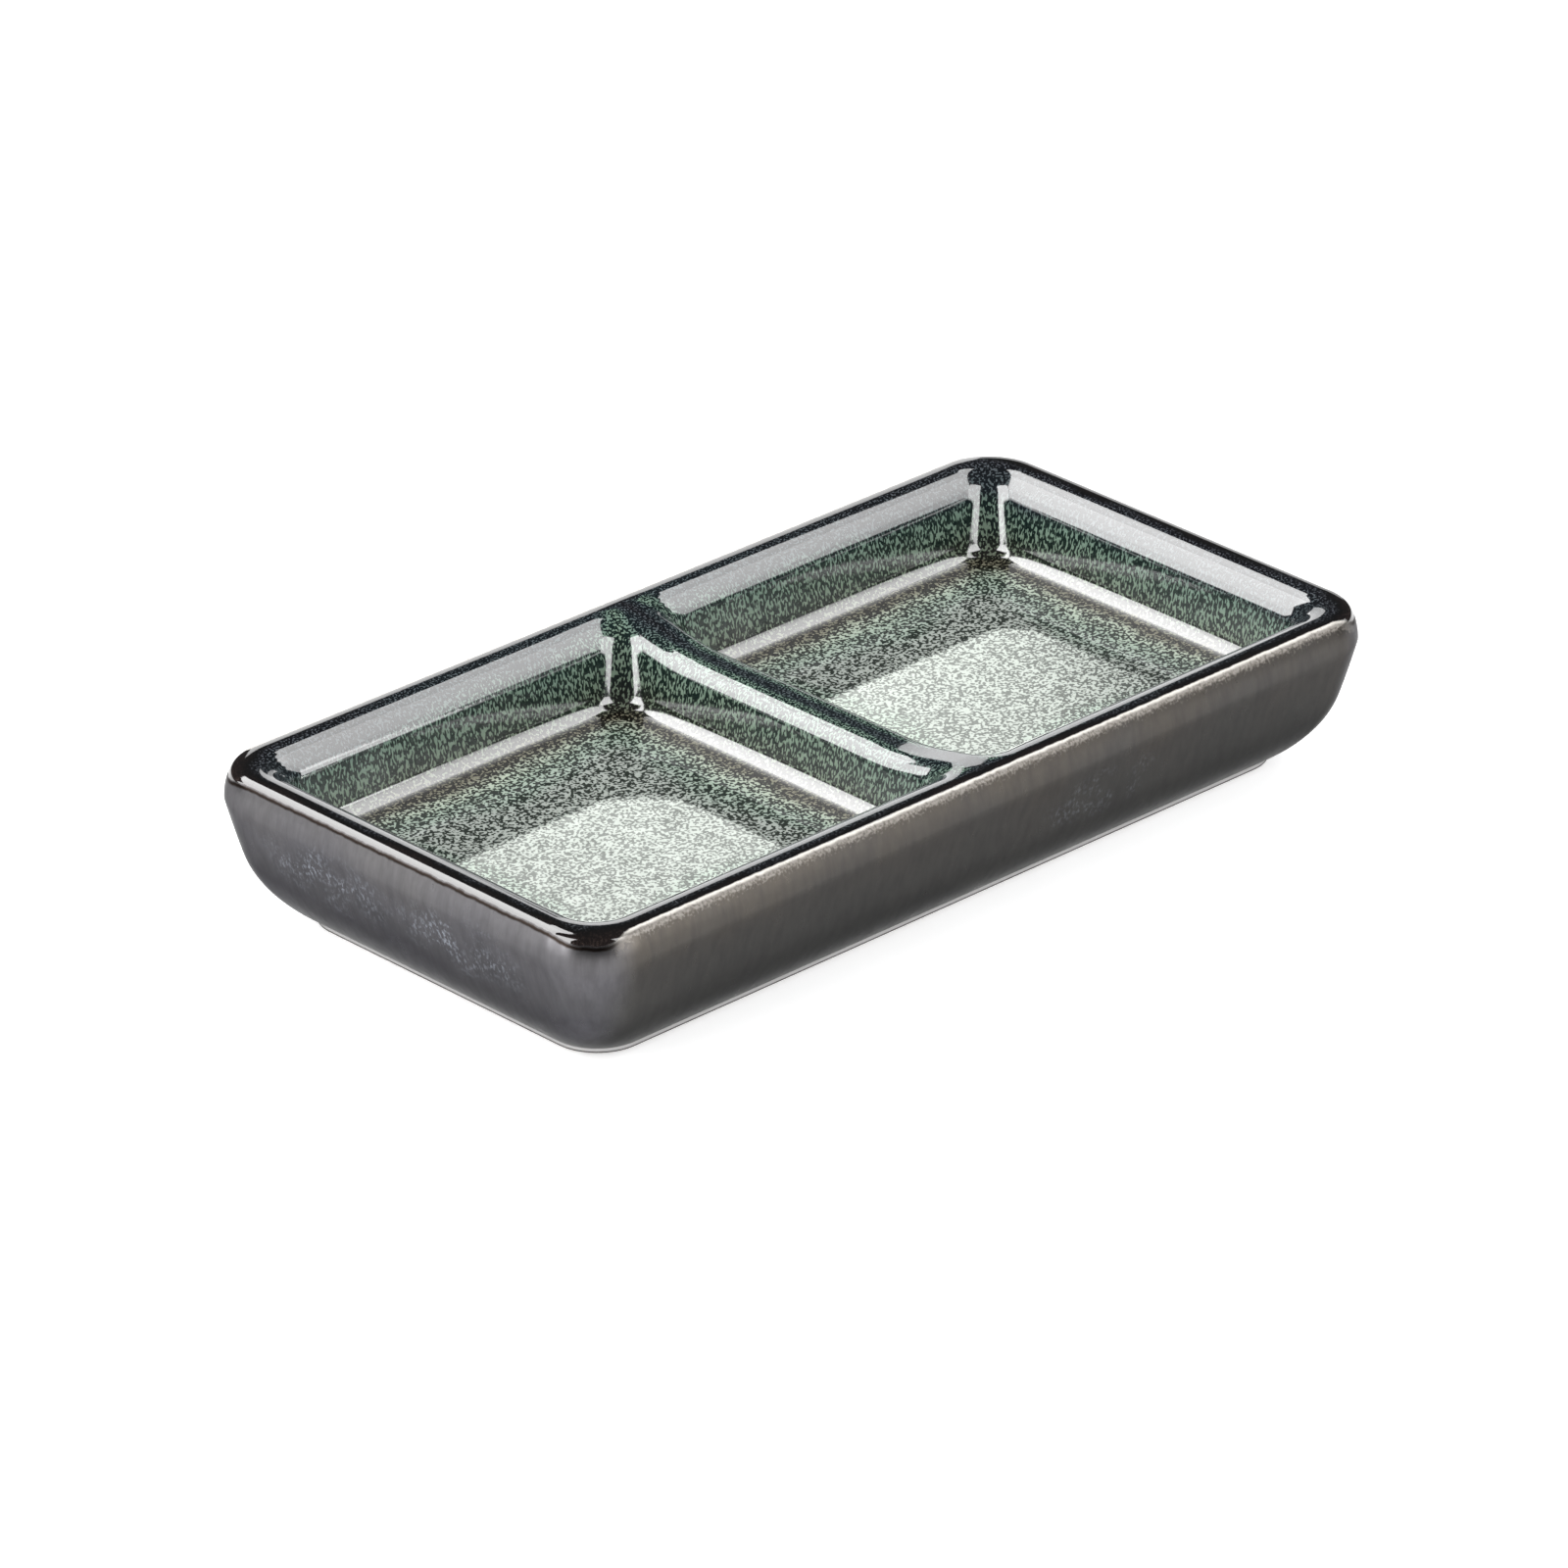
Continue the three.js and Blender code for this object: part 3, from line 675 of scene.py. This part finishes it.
def rim_glaze(name):
    """The lip: the liner's dark break on top, passing into the outer glaze down its side. A bronze edge, with
    a painted highlight line along the break, lies between them on the long sides, and a dark seam on the
    short ones."""
    material, n, place = new_material(name)
    depth = depth_of(n)
    colour, rough, runs = metal(n, place)
    end = at_ends(n, place)
    bend = n.math("MULTIPLY", end, towards(n, place, "Y", WIDTH / 2))
    at_corner = n.ranged(bend, 0.0, 1.0, 0.0, CORNER_BREAK - END_BREAK)
    start = n.math("ADD", n.ranged(end, 0.0, 1.0, LONG_BREAK, END_BREAK), at_corner)
    ragged = n.math("ADD", depth, n.spread(n.noise(place, BREAK_WANDER), -0.08, 0.08))
    below = n.math("SUBTRACT", start, ragged)
    side = n.ranged(below, 0.0, BREAK_RUN, smooth=True)
    # Painted highlight: a pale line at the break, passing into the bronze edge's own tone under it
    bronze_and_highlight = n.blend(n.ranged(below, BREAK_RUN, 3 * BREAK_RUN, smooth=True), PAINTED_HIGHLIGHT_LINE, BRONZE)
    dust = n.spread(n.noise(place, BRONZE_DUST, 1.0), -BRONZE_RUN / 3, BRONZE_RUN / 3)
    fading = n.ranged(n.math("ADD", below, dust), BRONZE_RUN / 3, BRONZE_RUN, smooth=True)
    faded = n.math("MAXIMUM", end, fading)
    lip = n.blend(faded, bronze_and_highlight, colour)
    seam = n.math("MULTIPLY", n.ranged(below, 0.05, 0.40), n.ranged(below, 0.60, 0.85, 1.0, 0.0))
    seamed = n.blend(n.math("MULTIPLY", seam, end), lip, SEAM)
    shader = n.add("BsdfPrincipled", {
        "Base Color": n.blend(side, speckle(n, place, depth), seamed),
        "Roughness": n.math("MULTIPLY", rough, n.ranged(side, 0.0, 1.0, 0.15, 1.0)),
        "Metallic": n.math("MULTIPLY", side, n.ranged(faded, 0.0, 1.0, 0.35, 1.0)),
        "IOR": 1.9,
        "Specular Tint": n.blend(n.math("MULTIPLY", side, faded), (1, 1, 1, 1), EDGE_TINT),
        "Normal": n.relief(runs, RUN_RELIEF, GLAZE_BUMP),
    })
    n.finish(shader, "Material")
    return material


def gunmetal_glaze(name):
    """Satin metallic grey of the outside."""
    material, n, place = new_material(name)
    colour, rough, runs = metal(n, place)
    shader = n.add("BsdfPrincipled", {
        "Base Color": colour,
        "Roughness": rough,
        "Metallic": 1.0,
        "Specular Tint": EDGE_TINT,
        "Normal": n.relief(runs, RUN_RELIEF, GLAZE_BUMP),
    })
    n.finish(shader, "Material")
    return material


def bare_clay(name):
    """Unglazed stoneware: matt and sandy, with iron specks."""
    material, n, place = new_material(name)
    sand = n.noise(place, SAND, 3.0, 0.65)
    cloud = n.noise(place, CLAY_CLOUD, 3.0)
    ground = n.ramp(n.spread(cloud, 0.0, 1.0), CLAY_TONES)
    grainy = n.blend(n.ranged(sand, 0.35, 0.65, 0.0, 0.5), ground, SAND_TONE)
    iron = n.ranged(n.noise(place, IRON, 1.0), 0.68, 0.74)
    shader = n.add("BsdfPrincipled", {
        "Base Color": n.blend(iron, grainy, IRON_TONE),
        "Roughness": n.spread(cloud, 0.75, 0.9),
        "Normal": n.relief(sand, SAND_RELIEF, SAND_BUMP),
    })
    n.finish(shader, "Material")
    return material


gunmetal = gunmetal_glaze("gunmetal")
liner = liner_glaze("celadon")
LOOKS = {
    "stoneware_body": bare_clay("bare_clay"),
    "rim_glaze": rim_glaze("dark_rim"),
    "left_well_glaze": liner,
    "right_well_glaze": liner,
    "outer_glaze": gunmetal,
    "base_glaze": gunmetal,
}
for node, piece in PIECES.items():
    piece.data.materials.append(LOOKS[node])

# The camera: where it aims, how it stands to the dish, and where that aim falls in the photograph
AIM = Vector((0, 0, 10)) * MM
VIEW_AZIMUTH = math.radians(-44.04)
VIEW_ELEVATION = math.radians(26.32)
VIEW_DISTANCE = 1.372
FRAME_SIZE = 1600
PIXELS_PER_MM = 7.751  # at the aim
AIM_PIXEL = (816.1, 783.9)


def direction(azimuth, elevation):
    """From the dish outwards: azimuth nought is -Y, and grows towards +X."""
    flat = math.cos(elevation)
    return Vector((math.sin(azimuth) * flat, -math.cos(azimuth) * flat, math.sin(elevation)))


def photo_camera():
    """The camera that the photograph was taken with, as fitted to it."""
    lens = bpy.data.cameras.new("photo_camera")
    lens.sensor_width = 36
    lens.lens = PIXELS_PER_MM * VIEW_DISTANCE / MM / FRAME_SIZE * lens.sensor_width
    lens.shift_x = 0.5 - AIM_PIXEL[0] / FRAME_SIZE
    lens.shift_y = AIM_PIXEL[1] / FRAME_SIZE - 0.5
    lens.clip_start, lens.clip_end = 0.05, 50
    back = direction(VIEW_AZIMUTH, VIEW_ELEVATION)
    camera = bpy.data.objects.new("photo_camera", lens)
    camera.location = AIM + back * VIEW_DISTANCE
    camera.rotation_euler = back.to_track_quat("Z", "Y").to_euler()
    bpy.context.scene.collection.objects.link(camera)
    bpy.context.scene.camera = camera


LAMP_DISTANCE = 1.0
RIGHT, BACK, FRONT, LEFT = (1, 0, 0), (0, 1, 0), (0, -1, 0), (-1, 0, 0)
BEHIND = (0.695, 0.719, 0)  # straight across the dish from the camera

# Softboxes: name, side of the dish, stretch along that side, heights, brightness. Some stand in stacks whose
# ends slant in steps.
SOFTBOXES = [
    ("right_low_softbox", RIGHT, (-1.40, -0.06), (0.36, 0.52), 2.5),
    ("right_middle_softbox", RIGHT, (-1.40, 0.09), (0.52, 0.70), 2.6),
    ("right_upper_softbox", RIGHT, (-1.40, 0.24), (0.70, 0.88), 3.2),
    ("right_high_softbox", RIGHT, (-1.40, 0.36), (0.88, 1.75), 3.4),
    ("right_top_softbox", RIGHT, (0.36, 0.56), (1.12, 1.75), 3.4),
    ("left_top_softbox", BACK, (-0.56, -0.40), (1.12, 1.75), 5.0),
    ("left_low_softbox", BACK, (0.40, 1.40), (0.28, 0.75), 4.9),
    ("left_high_softbox", BACK, (-0.40, 1.40), (0.75, 1.75), 5.6),
    ("front_right_softbox", FRONT, (-0.14, 0.75), (0.0, 1.50), 4.4),
    ("front_left_softbox", LEFT, (-0.70, 0.14), (0.0, 1.50), 6.0),
    ("back_card", BEHIND, (-0.03, 0.25), (0.0, 0.42), 2.0),
    ("back_low_card", BEHIND, (-0.30, -0.03), (0.0, 0.22), 1.1),
]


def softbox(name, side, across, heights, brightness):
    """An upright rectangular lamp that stands at a side of the dish and faces it. Its stretch along that side
    and its heights are given in lamp distances. Brightness is what a mirror would show of it; white is 1."""
    lamp = bpy.data.lights.new(name, "AREA")
    lamp.shape = "RECTANGLE"
    lamp.size, lamp.size_y = (LAMP_DISTANCE * (end - start) for start, end in (across, heights))
    lamp.energy = brightness * math.pi * lamp.size * lamp.size_y
    outward, up = Vector(side), Vector((0, 0, 1))
    place = outward + up.cross(outward) * sum(across) / 2 + up * sum(heights) / 2
    box = bpy.data.objects.new(name, lamp)
    box.location = place * LAMP_DISTANCE
    box.rotation_euler = outward.to_track_quat("Z", "Y").to_euler()
    box.visible_camera = False
    bpy.context.scene.collection.objects.link(box)


# Spots, one for each well: azimuth and elevation in degrees, aim in millimetres, spread in degrees, power
SPOTS = {
    "left_well_glaze": (137, 17, (-35, 0, 12), 6, 52),
    "right_well_glaze": (141, 19, (21, 7, 12), 2.5, 100),
}
SPOT_DISTANCE, SPOT_RADIUS, SPOT_BLEND = 1.5, 0.012, 0.05
SPOT_COLOUR = (0.95, 1.0, 0.94)


def back_spot(node, azimuth, elevation, aim, spread, power):
    """A small far lamp for one well, low behind the dish. The rim's shadow from it ends on its floor."""
    lamp = bpy.data.lights.new(node + "_spot", "SPOT")
    lamp.energy = power
    lamp.color = SPOT_COLOUR
    lamp.shadow_soft_size = SPOT_RADIUS
    lamp.spot_size = math.radians(spread)
    lamp.spot_blend = SPOT_BLEND
    spot = bpy.data.objects.new(lamp.name, lamp)
    back = direction(math.radians(azimuth), math.radians(elevation))
    spot.location = Vector(aim) * MM + back * SPOT_DISTANCE
    spot.rotation_euler = back.to_track_quat("Z", "Y").to_euler()
    spot.visible_camera = False
    bpy.context.scene.collection.objects.link(spot)
    lit = bpy.data.collections.new(lamp.name)
    lit.objects.link(PIECES[node])
    spot.light_linking.receiver_collection = lit


FLOOR_SIZE, FLOOR_TONE = 12, (0.85, 0.85, 0.85, 1)
FLOOR_GLOW = 0.45  # lifts the lit floor to white
ROOM_TONE, ROOM_LIGHT = (0.9, 0.95, 1, 1), 0.05


def white_stage():
    """A pale floor that keeps the shadow, and looks white to the camera and in the glaze."""
    bpy.ops.mesh.primitive_plane_add(size=FLOOR_SIZE)
    floor = bpy.context.object
    floor.name = "floor"
    material = bpy.data.materials.new("floor")
    n = Nodes(material)
    path = n.add("LightPath").outputs
    seen = n.math("MAXIMUM", path["Is Camera Ray"], path["Is Glossy Ray"])
    shown = n.math("MAXIMUM", seen, path["Is Transmission Ray"])
    matt = n.add("BsdfDiffuse", {"Color": FLOOR_TONE})
    glow = n.add("Emission", {"Color": (1, 1, 1, 1), "Strength": n.math("MULTIPLY", shown, FLOOR_GLOW)})
    both = n.add("AddShader", {0: matt.outputs[0], 1: glow.outputs[0]})
    n.finish(both, "Material")
    floor.data.materials.append(material)


def studio_world():
    """White behind the floor for the camera; dim all round for the light that reaches the dish."""
    world = bpy.data.worlds.new("studio")
    bpy.context.scene.world = world
    n = Nodes(world)
    path = n.add("LightPath")
    dim = n.add("Background", {"Color": ROOM_TONE, "Strength": ROOM_LIGHT})
    white = n.add("Background", {"Color": (1, 1, 1, 1), "Strength": 1})
    both = n.add("MixShader", {0: path.outputs["Is Camera Ray"], 1: dim.outputs[0], 2: white.outputs[0]})
    n.finish(both, "World")


photo_camera()
for box in SOFTBOXES:
    softbox(*box)
for node, spot in SPOTS.items():
    back_spot(node, *spot)
white_stage()
studio_world()
bpy.context.scene.view_settings.view_transform = "Standard"
